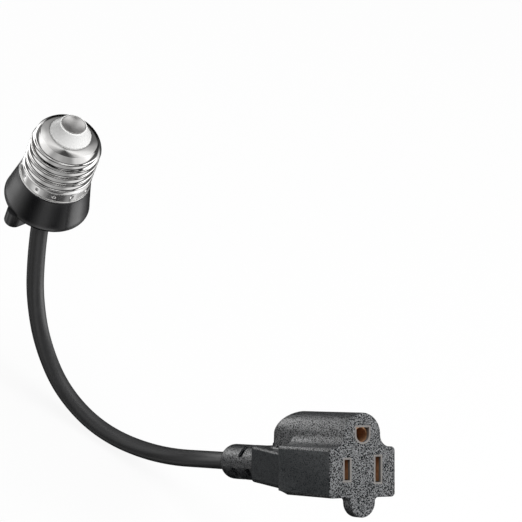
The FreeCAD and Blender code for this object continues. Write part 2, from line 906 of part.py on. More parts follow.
def add_crimp(body, x, y):
    """A strip and the barrel that is crimped on a lead's end."""
    barrel = new_sketch(body, "barrel_outline", "XY_Plane", -crimp_front)
    draw_circle(barrel, x, y, crimp_outer_radius)
    draw_circle(barrel, x, y, size("lead_radius"))
    push(body, "Pad", "barrel", barrel, size("crimp_length"), reverse=True)


def make_blade_contact(name, centre):
    """A folded clip: two leaves that flare at the mouth and pinch the blade."""
    body = new_body(name + "_contact", outlet_place)
    sheet_gauge = size("contact_sheet")
    mouth = size("contact_mouth_gap")
    pinch = size("contact_pinch_gap")
    back = size("contact_back_gap")
    front = -size("contact_front")
    deep = -size("contact_back_depth")
    middle = -size("contact_pinch_depth")
    clip = new_sketch(body, "clip_outline", "XZ_Plane")
    draw(clip, [
        (centre - mouth - sheet_gauge, front),
        (centre - pinch - sheet_gauge, middle),
        (centre - back - sheet_gauge, deep - sheet_gauge),
        (centre + back + sheet_gauge, deep - sheet_gauge),
        (centre + pinch + sheet_gauge, middle),
        (centre + mouth + sheet_gauge, front),
        (centre + mouth, front),
        (centre + pinch, middle),
        (centre + back, deep),
        (centre - back, deep),
        (centre - pinch, middle),
        (centre - mouth, front),
    ])
    push(body, "Pad", "clip", clip, size(name + "_slot_height") - size("pocket_margin"),
         both=True)
    strip = new_sketch(body, "strip_outline", "XY_Plane", deep)
    draw(strip, box_outline(centre - crimp_outer_radius, centre + crimp_outer_radius,
                            size("lead_radius"), crimp_outer_radius))
    push(body, "Pad", "strip", strip,
         crimp_front + size("crimp_length") - size("contact_back_depth"), reverse=True)
    add_crimp(body, centre, 0)


def make_ground_contact():
    """A rolled sleeve, open on one side, that grips the round ground pin."""
    body = new_body("ground_contact", outlet_place)
    rise = size("ground_rise")
    inner = size("ground_sleeve_radius")
    outer = inner + size("contact_sheet")
    front = -size("contact_front")
    back = front - size("ground_sleeve_length")
    ring = new_sketch(body, "sleeve_outline", "XY_Plane", front)
    draw_circle(ring, 0, rise, outer)
    draw_circle(ring, 0, rise, inner)
    push(body, "Pad", "sleeve", ring, size("ground_sleeve_length"), reverse=True)
    gap = new_sketch(body, "sleeve_gap_outline", "XY_Plane", front)
    half = size("contact_sheet")
    draw(gap, box_outline(-half, half, rise, rise + outer + 1))
    push(body, "Pocket", "sleeve_gap", gap, size("ground_sleeve_length"))
    strip = new_sketch(body, "strip_outline", "XY_Plane", back + 2)
    draw(strip, box_outline(-crimp_outer_radius, crimp_outer_radius,
                            rise - outer, rise - size("lead_radius")))
    push(body, "Pad", "strip", strip,
         crimp_front + size("crimp_length") - size("contact_front")
         - size("ground_sleeve_length") + 2, reverse=True)
    add_crimp(body, 0, rise)


# Cord and leads

def tube(name, points, radius, place):
    """A round tube along straight runs joined by tangent arcs, as large as the runs allow."""
    edges = []
    radii = []
    length = 0.0
    last = points[0]
    for index in range(1, len(points) - 1):
        before = points[index - 1] - points[index]
        after = points[index + 1] - points[index]
        reach = 0.45 * min(before.Length, after.Length)
        before.normalize()
        after.normalize()
        half_turn = (math.pi - before.getAngle(after)) / 2
        bend = reach / math.tan(half_turn)
        inward = (before + after).normalize()
        start = points[index] + before * reach
        end = points[index] + after * reach
        middle = points[index] + inward * (bend / math.cos(half_turn) - bend)
        edges.append(Part.LineSegment(last, start).toShape())
        edges.append(Part.Arc(start, middle, end).toShape())
        length += (start - last).Length + bend * 2 * half_turn
        radii.append(round(bend, 1))
        last = end
    edges.append(Part.LineSegment(last, points[-1]).toShape())
    length += (points[-1] - last).Length
    heading = points[1] - points[0]
    section = Part.Wire(Part.Circle(points[0], heading, radius).toShape())
    solid = Part.Wire(edges).makePipeShell([section], True, False)
    expected = math.pi * radius ** 2 * length
    if abs(solid.Volume - expected) > 0.01 * expected:
        raise RuntimeError(name + " has the wrong volume")
    feature = document.addObject("Part::Feature", name)
    feature.Label = name
    feature.Shape = solid
    feature.Placement = place
    parts[name] = feature
    print(name, "length %.1f mm," % length, "bend radii", radii)


def lead_start(angle):
    """Where a lead leaves the sheath, measured from the cord's axis."""
    ring = float(size("lead_ring"))
    return (ring * math.cos(math.radians(angle)), ring * math.sin(math.radians(angle)))


def make_cord():
    """The sheathed cord from the collar to the outlet."""
    entry = float(sheath_top - band_middle)
    points = [
        FreeCAD.Vector(0, 0, entry),
        FreeCAD.Vector(0, 0, -23),
        FreeCAD.Vector(3, 2, -44),
        FreeCAD.Vector(7, 5, -65),
        FreeCAD.Vector(15, 10, -86),
        FreeCAD.Vector(28, 18, -104),
        FreeCAD.Vector(46, 29, -111),
        FreeCAD.Vector(66, 42, -104),
        outlet_place.multVec(FreeCAD.Vector(0, 0, -float(size("cord_bend")))),
        outlet_place.multVec(FreeCAD.Vector(0, 0, -float(size("sheath_end")))),
    ]
    print("cord points", [[round(value, 2) for value in point] for point in points])
    tube("cord", points, float(cord_radius), FreeCAD.Placement())


def make_head_leads():
    radius = float(size("lead_radius"))
    base = float(sheath_top)
    live_x, live_y = lead_start(180)
    live_side = float(size("live_strap_reach") - size("strap_thickness")) - radius
    live_top = float(core_ceiling - size("strap_thickness") - size("strap_thickness") / 2)
    tube("live_lead_head", [
        FreeCAD.Vector(live_x, live_y, base),
        FreeCAD.Vector(live_x, live_y, base + 5),
        FreeCAD.Vector(-live_side, 0, live_top - 7),
        FreeCAD.Vector(-live_side, 0, live_top),
    ], radius, head_place)
    neutral_x, neutral_y = lead_start(300)
    neutral_side = float(size("neutral_strap_radius")) - radius
    neutral_top = float(size("neutral_strap_height"))
    tube("neutral_lead_head", [
        FreeCAD.Vector(neutral_x, neutral_y, base),
        FreeCAD.Vector(neutral_x, neutral_y, base + 3.5),
        FreeCAD.Vector(neutral_side, 0, neutral_top - 4.5),
        FreeCAD.Vector(neutral_side, 0, neutral_top),
    ], radius, head_place)
    ground_x, ground_y = lead_start(60)
    spare_y = float(size("spare_lead_side"))
    cap_base = float(end_cap_base)
    tip = float(size("end_cap_grip"))
    tube("ground_lead_head", [
        FreeCAD.Vector(ground_x, ground_y, base),
        FreeCAD.Vector(ground_x, ground_y, base + 4),
        FreeCAD.Vector(ground_x, spare_y, cap_base - 3),
        FreeCAD.Vector(ground_x, spare_y, cap_base + tip),
    ], radius, head_place)
    body = new_body("ground_end_cap", FreeCAD.Placement(
        head_place.Base + FreeCAD.Vector(ground_x, spare_y, cap_base), FreeCAD.Rotation()))
    grip = size("end_cap_grip")
    full_turn(body, "end_cap", [
        (0, grip),
        (size("lead_radius"), grip),
        (size("lead_radius"), 0),
        (size("end_cap_radius"), 0),
        (size("end_cap_radius"), size("end_cap_length") - 0.5),
        (size("end_cap_radius") - 0.5, size("end_cap_length")),
        (0, size("end_cap_length")),
    ])


def make_outlet_leads():
    radius = float(size("lead_radius"))
    front = -float(crimp_front) - 4.5
    turn_depth = -float(carrier_back) - 2
    waist = -float(size("wire_space_waist"))
    back = -float(size("sheath_end"))
    side = float(half_spacing)
    rise = float(size("ground_rise"))
    for name, x, y, angle, join in (("live", -side, 0, 210, waist - 8),
                                    ("neutral", side, 0, 330, waist - 8),
                                    ("ground", 0, rise, 90, waist - 5)):
        end_x, end_y = lead_start(angle)
        tube(name + "_lead_outlet", [
            FreeCAD.Vector(x, y, front),
            FreeCAD.Vector(x, y, turn_depth),
            FreeCAD.Vector(end_x, end_y, join),
            FreeCAD.Vector(end_x, end_y, back),
        ], radius, outlet_place)


def check_and_write():
    document.recompute()
    for item in document.Objects:
        if "Invalid" in item.State or "Error" in item.State:
            raise RuntimeError(item.Name + " did not build")
        if item.TypeId in ("PartDesign::Pocket", "PartDesign::Groove"):
            if item.Shape.Volume > item.BaseFeature.Shape.Volume - 1e-3:
                raise RuntimeError(item.Name + " cuts nothing")
    for name, item in parts.items():
        if item.Shape.isNull() or not item.Shape.isValid():
            raise RuntimeError(name + " has no valid shape")
        if len(item.Shape.Solids) != 1:
            raise RuntimeError(name + " is not one solid")
    for name, item in parts.items():
        item.Shape.exportStep("parts/" + name + ".step")
        print(name, "volume %.1f" % item.Shape.Volume)


make_screw_shell()
make_base_core()
make_centre_contact()
make_live_terminal()
make_neutral_terminal()
make_collar()
make_collar_cap()
make_cord_anchor()
make_head_leads()
make_cord()
make_outlet_housing()
make_contact_carrier()
make_carrier_cover()
make_blade_contact("live", -half_spacing)
make_blade_contact("neutral", half_spacing)
make_ground_contact()
make_outlet_leads()
check_and_write()
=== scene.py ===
"""Looks of the lamp socket adapter: a screw base, a short cord and a moulded outlet."""
import bpy
import math
from mathutils import Matrix, Vector


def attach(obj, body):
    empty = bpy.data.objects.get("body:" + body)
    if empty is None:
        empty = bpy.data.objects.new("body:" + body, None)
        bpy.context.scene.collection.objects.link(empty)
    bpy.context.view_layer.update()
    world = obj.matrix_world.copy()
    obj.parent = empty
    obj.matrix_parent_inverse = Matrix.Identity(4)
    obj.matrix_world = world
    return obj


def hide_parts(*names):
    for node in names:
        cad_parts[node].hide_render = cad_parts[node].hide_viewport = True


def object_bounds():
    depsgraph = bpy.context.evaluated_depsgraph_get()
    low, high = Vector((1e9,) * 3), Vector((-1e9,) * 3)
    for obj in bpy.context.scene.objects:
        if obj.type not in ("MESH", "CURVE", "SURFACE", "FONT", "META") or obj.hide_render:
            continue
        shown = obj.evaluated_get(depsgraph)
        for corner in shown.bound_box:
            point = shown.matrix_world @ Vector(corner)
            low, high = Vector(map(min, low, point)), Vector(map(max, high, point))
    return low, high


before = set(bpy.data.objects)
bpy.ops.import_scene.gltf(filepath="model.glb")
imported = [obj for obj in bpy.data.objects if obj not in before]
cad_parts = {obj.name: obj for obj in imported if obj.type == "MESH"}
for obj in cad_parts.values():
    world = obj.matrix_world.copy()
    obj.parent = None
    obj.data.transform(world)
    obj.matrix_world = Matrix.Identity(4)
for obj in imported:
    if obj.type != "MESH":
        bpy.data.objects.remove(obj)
cad_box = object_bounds()
MM = 0.001

# Places shared with the solids, in millimetres and degrees. The head's own heights count from
# the foot of its shell, and the outlet's own depths count back from its face.
HEAD_DROP = 2.3
OUTLET_PLACE = (143.8, 51.7, -6.6)
OUTLET_LEAN = 37.3
OUTLET_ROLL = 77.6
CORD_RADIUS = 3.3
BLADE_REACH = 6.35
GROUND_RISE = 11.89

head_place = Matrix.Translation((0, 0, -HEAD_DROP))
outlet_place = (
    Matrix.Translation(OUTLET_PLACE)
    @ Matrix.Rotation(math.radians(OUTLET_LEAN), 4, "Y")
    @ Matrix.Rotation(math.radians(OUTLET_ROLL), 4, "Z")
)


# Materials

def new_material(name, colour, metallic=0.0, roughness=0.5, specular=0.5):
    """A material and its shader, with its plain values set."""
    material = bpy.data.materials.new(name)
    material.use_nodes = True
    shader = material.node_tree.nodes["Principled BSDF"]
    shader.inputs["Base Color"].default_value = (*colour, 1)
    shader.inputs["Metallic"].default_value = metallic
    shader.inputs["Roughness"].default_value = roughness
    shader.inputs["Specular IOR Level"].default_value = specular
    return material, shader


def add_node(material, kind, **inputs):
    """A new node with some of its inputs set by name."""
    node = material.node_tree.nodes.new(kind)
    for name, value in inputs.items():
        node.inputs[name].default_value = value
    return node


def stretch(material, scale):
    """Object coordinates in millimetres, stretched by a scale along each axis."""
    where = material.node_tree.nodes.new("ShaderNodeTexCoord")
    mapping = add_node(material, "ShaderNodeMapping")
    mapping.inputs["Scale"].default_value = [value / MM for value in scale]
    material.node_tree.links.new(where.outputs["Object"], mapping.inputs["Vector"])
    return mapping.outputs["Vector"]


def add_noise(material, vector, scale, detail=3.0, rough=0.5):
    """A noise over the given coordinates."""
    noise = add_node(material, "ShaderNodeTexNoise", Scale=scale, Detail=detail, Roughness=rough)
    material.node_tree.links.new(vector, noise.inputs["Vector"])
    return noise.outputs["Fac"]


def add_range(material, value, low, high, reach=0.2, middle=0.5):
    """Turn a noise within a reach of a middle value into a range of numbers."""
    spread = add_node(material, "ShaderNodeMapRange")
    for name, number in (("From Min", middle - reach), ("From Max", middle + reach),
                         ("To Min", low), ("To Max", high)):
        spread.inputs[name].default_value = number
    material.node_tree.links.new(value, spread.inputs["Value"])
    return spread.outputs["Result"]


def add_sum(material, value, other):
    """The sum of a value and another value or a plain number."""
    total = add_node(material, "ShaderNodeMath")
    total.operation = "ADD"
    material.node_tree.links.new(value, total.inputs[0])
    if isinstance(other, float):
        total.inputs[1].default_value = other
    else:
        material.node_tree.links.new(other, total.inputs[1])
    return total.outputs[0]


def add_bump(material, shader, height, strength, distance):
    """A bump from a height, with its depth in millimetres."""
    bump = add_node(material, "ShaderNodeBump", Strength=strength, Distance=distance * MM)
    material.node_tree.links.new(height, bump.inputs["Height"])
    material.node_tree.links.new(bump.outputs["Normal"], shader.inputs["Normal"])


def tint(material, shader, value, dark, light, reach=0.2, middle=0.5):
    """Blend the base colour between two tones by a value."""
    mix = material.node_tree.nodes.new("ShaderNodeMix")
    mix.data_type = "RGBA"
    colours = [socket for socket in mix.inputs if socket.type == "RGBA"]
    colours[0].default_value = (*dark, 1)
    colours[1].default_value = (*light, 1)
    factor = add_range(material, value, 0.0, 1.0, reach, middle)
    material.node_tree.links.new(factor, mix.inputs[0])
    result = [socket for socket in mix.outputs if socket.type == "RGBA"][0]
    material.node_tree.links.new(result, shader.inputs["Base Color"])


def link_range(material, shader, name, value, low, high):
    """Drive one of the shader's sockets by a noise, between two numbers."""
    result = add_range(material, value, low, high)
    material.node_tree.links.new(result, shader.inputs[name])


def make_nickel():
    """Rolled nickel: bright, with faint rolling lines and slight clouds."""
    material, shader = new_material("nickel", (0.80, 0.795, 0.785), metallic=1.0, roughness=0.14)
    rolled = add_noise(material, stretch(material, (0.3, 0.3, 6)), 1.0, 4.0)
    grime = add_noise(material, stretch(material, (0.25, 0.25, 0.25)), 1.0, 4.0)
    link_range(material, shader, "Roughness", grime, 0.07, 0.14)
    tint(material, shader, grime, (0.76, 0.75, 0.74), (0.86, 0.855, 0.845))
    add_bump(material, shader, rolled, 0.05, 0.02)
    return material


def make_tip_metal():
    """The contact's satin metal, fine-grained."""
    material, shader = new_material("tip_metal", (0.7, 0.69, 0.68), metallic=1.0, roughness=0.36)
    grain = add_noise(material, stretch(material, (4, 4, 4)), 1.0, 4.0)
    cloud = add_noise(material, stretch(material, (0.4, 0.4, 0.4)), 1.0, 3.0)
    link_range(material, shader, "Roughness", cloud, 0.3, 0.44)
    tint(material, shader, cloud, (0.70, 0.69, 0.68), (0.82, 0.81, 0.80))
    add_bump(material, shader, grain, 0.15, 0.02)
    return material


def make_plastic(name, dark, light, roughness, grain_size, grain_depth, strength=0.4,
                 specular=0.5):
    """Moulded plastic: slight tone changes over it and a grain of the given size."""
    material, shader = new_material(name, light, roughness=roughness, specular=specular)
    pitch = 1.0 / grain_size
    grain = add_noise(material, stretch(material, (pitch, pitch, pitch)), 1.0, 2.0, 0.6)
    cloud = add_noise(material, stretch(material, (0.12, 0.12, 0.12)), 1.0, 4.0, 0.6)
    link_range(material, shader, "Roughness", cloud, roughness * 0.88, roughness * 1.12)
    tint(material, shader, cloud, dark, light)
    add_bump(material, shader, grain, strength, grain_depth)
    return material


def make_grained_plastic_painted_glints(name, dark, light, specular, strength):
    """Spark-grained charcoal plastic: fine light and dark specks in its colour, partly the grain's
    own tone and partly painted glints, that also catch the light.
    """
    material, shader = new_material(name, light, roughness=0.4)
    grain = add_noise(material, stretch(material, (2.1, 2.1, 2.1)), 1.0, 1.0, 0.6)
    fine = add_noise(material, stretch(material, (3.0, 3.0, 3.0)), 1.0, 1.0, 0.5)
    speck = add_sum(material, fine, -0.5)
    both = add_sum(material, grain, speck)
    # The light specks in the base colour paint the grain's glints as well as its tone.
    tint(material, shader, both, dark, light, 0.08, 0.545)
    link_range(material, shader, "Specular IOR Level", both, 0.0, specular)
    link_range(material, shader, "Roughness", both, 0.36, 0.24)
    add_bump(material, shader, both, strength, 0.06)
    return material


def make_cord_material():
    """The cord's smooth sheath, slightly uneven in gloss and tone."""
    material, shader = new_material("cord_sheath", (0.04, 0.04, 0.041), roughness=0.34,
                                    specular=0.4)
    grain = add_noise(material, stretch(material, (1.6, 1.6, 1.6)), 1.0, 4.0)
    cloud = add_noise(material, stretch(material, (0.1, 0.1, 0.1)), 1.0, 3.0)
    link_range(material, shader, "Roughness", cloud, 0.31, 0.37)
    tint(material, shader, cloud, (0.036, 0.036, 0.037), (0.045, 0.045, 0.046))
    add_bump(material, shader, grain, 0.25, 0.03)
    return material


nickel = make_nickel()
tip_metal = make_tip_metal()
core_white = make_plastic("core_white", (0.80, 0.80, 0.79), (0.86, 0.86, 0.85), 0.32, 1.2, 0.02)
collar_black = make_plastic("collar_black", (0.007, 0.007, 0.008), (0.010, 0.010, 0.011),
                            0.24, 2.0, 0.012, strength=0.25, specular=0.7)
cap_black = make_plastic("cap_black", (0.012, 0.012, 0.013), (0.017, 0.017, 0.018),
                         0.42, 0.5, 0.02)
outlet_grey = make_grained_plastic_painted_glints("outlet_charcoal", (0.002, 0.003, 0.004),
                                   (0.18, 0.184, 0.19), 1.0, 0.6)
relief_dark = make_grained_plastic_painted_glints("outlet_relief", (0.002, 0.003, 0.004),
                                   (0.10, 0.104, 0.11), 0.8, 0.5)
# The side walls' copy of the grained plastic is darker, with fainter specks, and paints the shade
# on those walls.
wall_painted_shade = make_grained_plastic_painted_glints("outlet_wall_painted_shade", (0.026, 0.03, 0.033), (0.052, 0.058, 0.062),
                                 0.4, 0.15)
# Near-black matt plastic for the floors of the relief's slots: the black cord inside, darkened
# further to paint the shade in the slots.
slot_painted_shade = make_plastic("slot_painted_shade", (0.004, 0.004, 0.005), (0.007, 0.007, 0.008),
                          0.6, 0.5, 0.02, specular=0.15)
rim_grey = make_plastic("carrier_grey", (0.15, 0.14, 0.133), (0.20, 0.188, 0.178), 0.5, 0.4, 0.02)
sheath = make_cord_material()


def make_metal(name, dark, light, roughness, metallic=1.0):
    """Satin metal with clouds of two tones."""
    material, shader = new_material(name, light, metallic=metallic, roughness=roughness)
    cloud = add_noise(material, stretch(material, (0.8, 0.8, 0.8)), 1.0, 4.0)
    link_range(material, shader, "Roughness", cloud, roughness * 0.8, roughness * 1.25)
    tint(material, shader, cloud, dark, light)
    return material


brass = make_metal("contact_brass", (0.40, 0.21, 0.11), (0.58, 0.33, 0.18), 0.45, 0.45)
terminal_brass = make_metal("terminal_brass", (0.62, 0.47, 0.22), (0.76, 0.60, 0.32), 0.3)
steel = make_metal("crimp_steel", (0.50, 0.50, 0.50), (0.62, 0.62, 0.62), 0.35)
black_lead = make_plastic("lead_black", (0.015, 0.015, 0.015), (0.02, 0.02, 0.02), 0.35, 1.0, 0.01)
white_lead = make_plastic("lead_white", (0.74, 0.74, 0.72), (0.80, 0.80, 0.78), 0.35, 1.0, 0.01)
green_lead = make_plastic("lead_green", (0.03, 0.24, 0.08), (0.05, 0.30, 0.10), 0.35, 1.0, 0.01)
nylon = make_plastic("cap_nylon", (0.68, 0.67, 0.63), (0.75, 0.74, 0.70), 0.45, 0.8, 0.01)

for node, material in {
    "collar_cap": cap_black, "cord_anchor": steel, "live_terminal": terminal_brass,
    "neutral_terminal": terminal_brass, "live_lead_head": black_lead,
    "neutral_lead_head": white_lead, "ground_lead_head": green_lead,
    "ground_end_cap": nylon, "contact_carrier": rim_grey, "carrier_cover": rim_grey,
    "live_contact": brass, "neutral_contact": brass, "ground_contact": brass,
    "live_lead_outlet": black_lead, "neutral_lead_outlet": white_lead,
    "ground_lead_outlet": green_lead,
}.items():
    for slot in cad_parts[node].material_slots:
        slot.material = material


# Mesh helpers

def make_piece(name, points, faces, place, material, sharp=35):
    """A smooth-shaded piece from points in millimetres in its own local frame."""
    mesh = bpy.data.meshes.new(name)
    mesh.from_pydata([place @ Vector(point) * MM for point in points], [], faces)
    mesh.validate()
    mesh.shade_smooth()
    mesh.set_sharp_from_angle(angle=math.radians(sharp))
    mesh.materials.append(material)
    piece = bpy.data.objects.new(name, mesh)
    bpy.context.scene.collection.objects.link(piece)
    return piece


def dress(piece, slot, *nodes):
    """Let a piece stand for CAD nodes and ride on the body. The slot argument is not used."""
    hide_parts(*nodes)
    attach(piece, "root")


def arc(centre, radius, start, end, steps=8):
    """Points of a circular arc, angles in degrees, both ends included."""
    points = []
    for index in range(steps + 1):
        angle = math.radians(start + (end - start) * index / steps)
        points.append((centre[0] + radius * math.cos(angle),
                       centre[1] + radius * math.sin(angle)))
    return points


def bend(start, end, radius, side=1, steps=8):
    """Points of an arc from start to end that turns left for side 1, or right for -1."""
    chord = Vector(end) - Vector(start)
    middle = (Vector(start) + Vector(end)) / 2
    across = Vector((-chord.y, chord.x)).normalized()
    reach = math.sqrt(max(radius ** 2 - chord.length ** 2 / 4, 0))
    centre = middle + across * reach * side
    first = math.degrees(math.atan2(start[1] - centre.y, start[0] - centre.x))
    last = math.degrees(math.atan2(end[1] - centre.y, end[0] - centre.x))
    if side > 0 and last < first:
        last += 360
    if side < 0 and last > first:
        last -= 360
    return arc(centre, radius, first, last, steps)


def lathe(name, outline, place, material, steps=192, sharp=35, shape=None):
    """A closed outline of (radius, height) turned about the local Z axis.

    shape may change a point: it takes the angle, radius and height and gives back the last two.
    """
    points, faces, rings = [], [], []
    for radius, height in outline:
        if radius < 1e-6:
            rings.append([len(points)])
            points.append((0, 0, height))
            continue
        rings.append(list(range(len(points), len(points) + steps)))
        for index in range(steps):
            angle = 2 * math.pi * index / steps
            r, z = shape(angle, radius, height) if shape else (radius, height)
            points.append((r * math.cos(angle), r * math.sin(angle), z))
    for ring, following in zip(rings, rings[1:] + rings[:1]):
        if len(ring) == 1 and len(following) == 1:
            continue
        for index in range(steps):
            after = (index + 1) % steps
            if len(ring) == 1:
                faces.append((ring[0], following[after], following[index]))
            elif len(following) == 1:
                faces.append((ring[index], ring[after], following[0]))
            else:
                faces.append((ring[index], ring[after], following[after], following[index]))
    return make_piece(name, points, faces, place, material, sharp)


def offset(outline, inset):
    """Move a closed, smooth outline inwards along its own normals."""
    count = len(outline)
    moved = []
    for index in range(count):
        before = Vector(outline[index - 1])
        after = Vector(outline[(index + 1) % count])
        here = Vector(outline[index])
        first, second = (here - before).normalized(), (after - here).normalized()
        along = (first + second).normalized()
        share = max(along.dot(first), 0.5)
        moved.append(here + Vector((-along.y, along.x)) * inset / share)
    return moved


def bridge(levels, count):
    """Faces between following rings of points, each ring with the same count."""
    faces = []
    for level in range(levels - 1):
        for index in range(count):
            after = (index + 1) % count
            faces.append((level * count + index, (level + 1) * count + index,
                          (level + 1) * count + after, level * count + after))
    return faces


def caps(total, count):
    """The faces that close the first and the last ring of a stack of rings."""
    return [tuple(range(count)), tuple(reversed(range(total - count, total)))]


def prism(outline, front, back, front_round, back_round, steps=5, between=()):
    """A prism between two depths with rounded rims, as points and faces."""
    levels = []
    for index in range(steps + 1):
        angle = math.pi / 2 * index / steps
        levels.append((front_round * (1 - math.sin(angle)),
                       front - front_round * (1 - math.cos(angle))))
    levels += [(0.0, depth) for depth in between]
    for index in range(steps + 1):
        angle = math.pi / 2 * index / steps
        levels.append((back_round * (1 - math.cos(angle)),
                       back + back_round * (1 - math.sin(angle))))
    points = []
    count = len(outline)
    for inset, depth in levels:
        for point in offset(outline, inset):
            points.append((point[0], point[1], depth))
    return points, bridge(len(levels), count) + caps(len(points), count)


def tidy(outline):
    """Drop points that repeat the one before."""
    kept = []
    for point in outline:
        if not kept or (Vector(point) - Vector(kept[-1])).length > 1e-4:
            kept.append(tuple(point))
    if (Vector(kept[0]) - Vector(kept[-1])).length < 1e-4:
        kept.pop()
    return kept


def merge(pieces, name):
    """Join pieces into one object by copying their meshes together."""
    bpy.ops.object.select_all(action="DESELECT")
    for piece in pieces:
        piece.select_set(True)
    bpy.context.view_layer.objects.active = pieces[0]
    bpy.ops.object.join()
    pieces[0].name = name
    pieces[0].data.name = name
    return pieces[0]


def carve(piece, cutter):
    """Cut one piece out of another and delete the cutter."""
    cut = piece.modifiers.new("cut", "BOOLEAN")
    cut.operation = "DIFFERENCE"
    cut.solver = "EXACT"
    cut.object = cutter
    bpy.context.view_layer.update()
    shape = bpy.data.meshes.new_from_object(
        piece.evaluated_get(bpy.context.evaluated_depsgraph_get()))
    piece.modifiers.clear()
    piece.data = shape
    bpy.data.objects.remove(cutter)


# Screw shell: lip, plain band with punch marks, rolled thread and dome

CREST = 12.7
ROOT = 11.85
PITCH = 3.629
THREAD_START = 2.55
THREAD_TURNS = 4.6
BAND_TOP = 4.2
PUNCH_STEP = 30
PUNCH_HEIGHT = 2.6
PUNCH_RADIUS = 0.62
PUNCH_DEPTH = 0.3
DOME_START = 16.6
DOME_BEND = 8.84


def ridge_height(angle, height):
    """How far the rolled thread stands above its root at a place on the shell."""
    turn = angle / (2 * math.pi)
    best = 0.0
    for whole in range(-1, 7):
        turns = turn + whole
        if turns < 0 or turns > THREAD_TURNS:
            continue
        away = abs(height - THREAD_START - PITCH * turns) / PITCH
        if away < 0.5:
            fade = min(1.0, (THREAD_TURNS - turns) / 0.35)
            best = max(best, fade * (0.5 + 0.5 * math.cos(2 * math.pi * away)) ** 0.8)
    return best * (CREST - ROOT)


def dome_radius(height):
    """The dome's own radius above the last full thread."""
    if height < DOME_START:
        return CREST + 0.2
    curve = bend((CREST + 0.05, DOME_START), (10.4, 21.1), DOME_BEND, 1, 40)
    for low, high in zip(curve, curve[1:]):
        if low[1] <= height <= high[1]:
            share = (height - low[1]) / (high[1] - low[1])
            return low[0] + (high[0] - low[0]) * share
    return 10.4


def shell_point(angle, radius, height):
    """Press the punch marks into the band and roll the thread into the wall above it."""
    if not (11.5 < radius and 0.41 < height < 21.0):
        return radius, height
    if height <= BAND_TOP:
        away = ((math.degrees(angle) + PUNCH_STEP / 2) % PUNCH_STEP) - PUNCH_STEP / 2
        across = math.radians(away) * radius
        near = math.hypot(across, height - PUNCH_HEIGHT) / PUNCH_RADIUS
        return radius - PUNCH_DEPTH * max(0.0, 1 - near ** 2), height
    threaded = ROOT + ridge_height(angle, height)
    if height < 5.2:
        threaded = max(threaded, radius)
    return min(threaded, dome_radius(height)), height


def make_shell():
    """The rolled shell in one sheet: lip, band, thread and dome."""
    outline = [(12.35, 0.0), (12.95, 0.0), (13.07, 0.06), (13.1, 0.2), (13.07, 0.33), (12.98, 0.4),
               (12.8, 0.42)]
    outline += [(12.75, 0.5 + 0.185 * index) for index in range(20)]
    outline += [(12.75, 4.15), (12.62, 4.32), (12.4, 4.5), (12.15, 4.68), (11.95, 4.82)]
    outline += [(11.85, 5.0 + 0.2 * index) for index in range(80)]
    outline += [(10.43, 21.06), (10.36, 21.16), (10.2, 21.3)]
    outline += bend((10.0, 21.42), (7.75, 22.5), DOME_BEND, 1, 8)
    outline += [(7.62, 22.5), (7.6, 22.4), (7.6, 22.0)]
    outline += bend((7.6, 22.0), (11.45, DOME_START), 7.5, -1, 6)[1:]
    outline += [(11.45, 5.0), (12.35, 4.0)]
    return lathe("shell_metal", tidy(outline), head_place, nickel, 384, 50, shell_point)


dress(make_shell(), "nickel", "screw_shell")


# White base core, centre contact and collar

def make_core():
    """The white core: a wide foot in the collar and a frustum that shows above the shell."""
    outline = [(1.55, 15.5), (9.6, 15.5), (9.6, -5.0), (11.3, -5.0), (11.7, -4.6), (11.3, -4.2),
               (11.3, 0.0), (12.2, 0.0), (12.2, 3.65), (11.3, 4.35), (11.3, 16.4), (7.45, 21.8)]
    outline += [(7.45, 22.65)]
    outline += bend((7.42, 22.72), (7.3, 22.9), 0.25, 1, 3)
    outline += [(4.95, 26.72)]
    outline += bend((4.95, 26.72), (4.6, 26.98), 0.4, 1, 4)[1:]
    outline += [(4.46, 27.0), (4.45, 26.9), (4.45, 25.6), (1.55, 25.6)]
    return lathe("core_moulding", tidy(outline), head_place, core_white, 160, 40)


def make_contact():
    """The centre contact: a dished head on a hollow rivet's shank."""
    outline = [(0, 25.95)]
    outline += bend((0, 25.95), (4.0, 27.1), 7.5, 1, 12)[1:]
    outline += [(4.12, 27.17), (4.26, 27.2), (4.37, 27.15), (4.4, 27.05), (4.4, 25.6), (1.5, 25.6),
                (1.5, 15.0), (2.5, 15.0), (1.5, 14.3), (0, 14.3)]
    return lathe("contact_rivet", tidy(outline), head_place, tip_metal, 128, 40)


def make_collar():
    """The flared collar with the lug under its rim."""
    outline = [(11.4, -0.05), (11.5, 0.0), (12.95, 0.0)]
    outline += bend((12.95, 0.0), (13.35, -0.4), 0.4, -1, 5)[1:]
    outline += [(13.8, -2.6), (14.35, -5.2), (14.95, -8.0), (15.45, -10.4)]
    outline += bend((15.8, -11.9), (14.1, -13.6), 1.7, -1, 9)
    outline += [(13.42, -13.6), (13.4, -13.5), (13.4, -11.8), (12.4, -11.8), (12.4, -4.1),
                (11.4, -4.1)]
    outline.reverse()
    ring = lathe("collar_skin", tidy(outline), head_place, collar_black, 224, 40)
    seat, wide, inner, foot, facing = 13.8, 3.3, 7.9, -18.6, -79
    slab = arc((seat, 0), wide, -90, 90, 16) + arc((inner, 0), wide, 90, 270, 16)
    root = arc((seat, 0), wide, -82, 82, 16)
    place = head_place @ Matrix.Rotation(math.radians(facing), 4, "Z")
    lugs = []
    for part, (outline, top) in enumerate(((slab, -13.65), (root, -12.2))):
        points, faces = prism(tidy(outline), top, foot, 0.0, 0.9, 6)
        lugs.append(make_piece("lug_%d" % part, points, faces, place, collar_black, 40))
    return merge([ring] + lugs, "collar_skin")


dress(make_core(), "core_white", "base_core")
dress(make_contact(), "tip_metal", "centre_contact")
dress(make_collar(), "collar_black", "collar")


# Outlet: block and arch, pull tab, neck and slotted strain relief

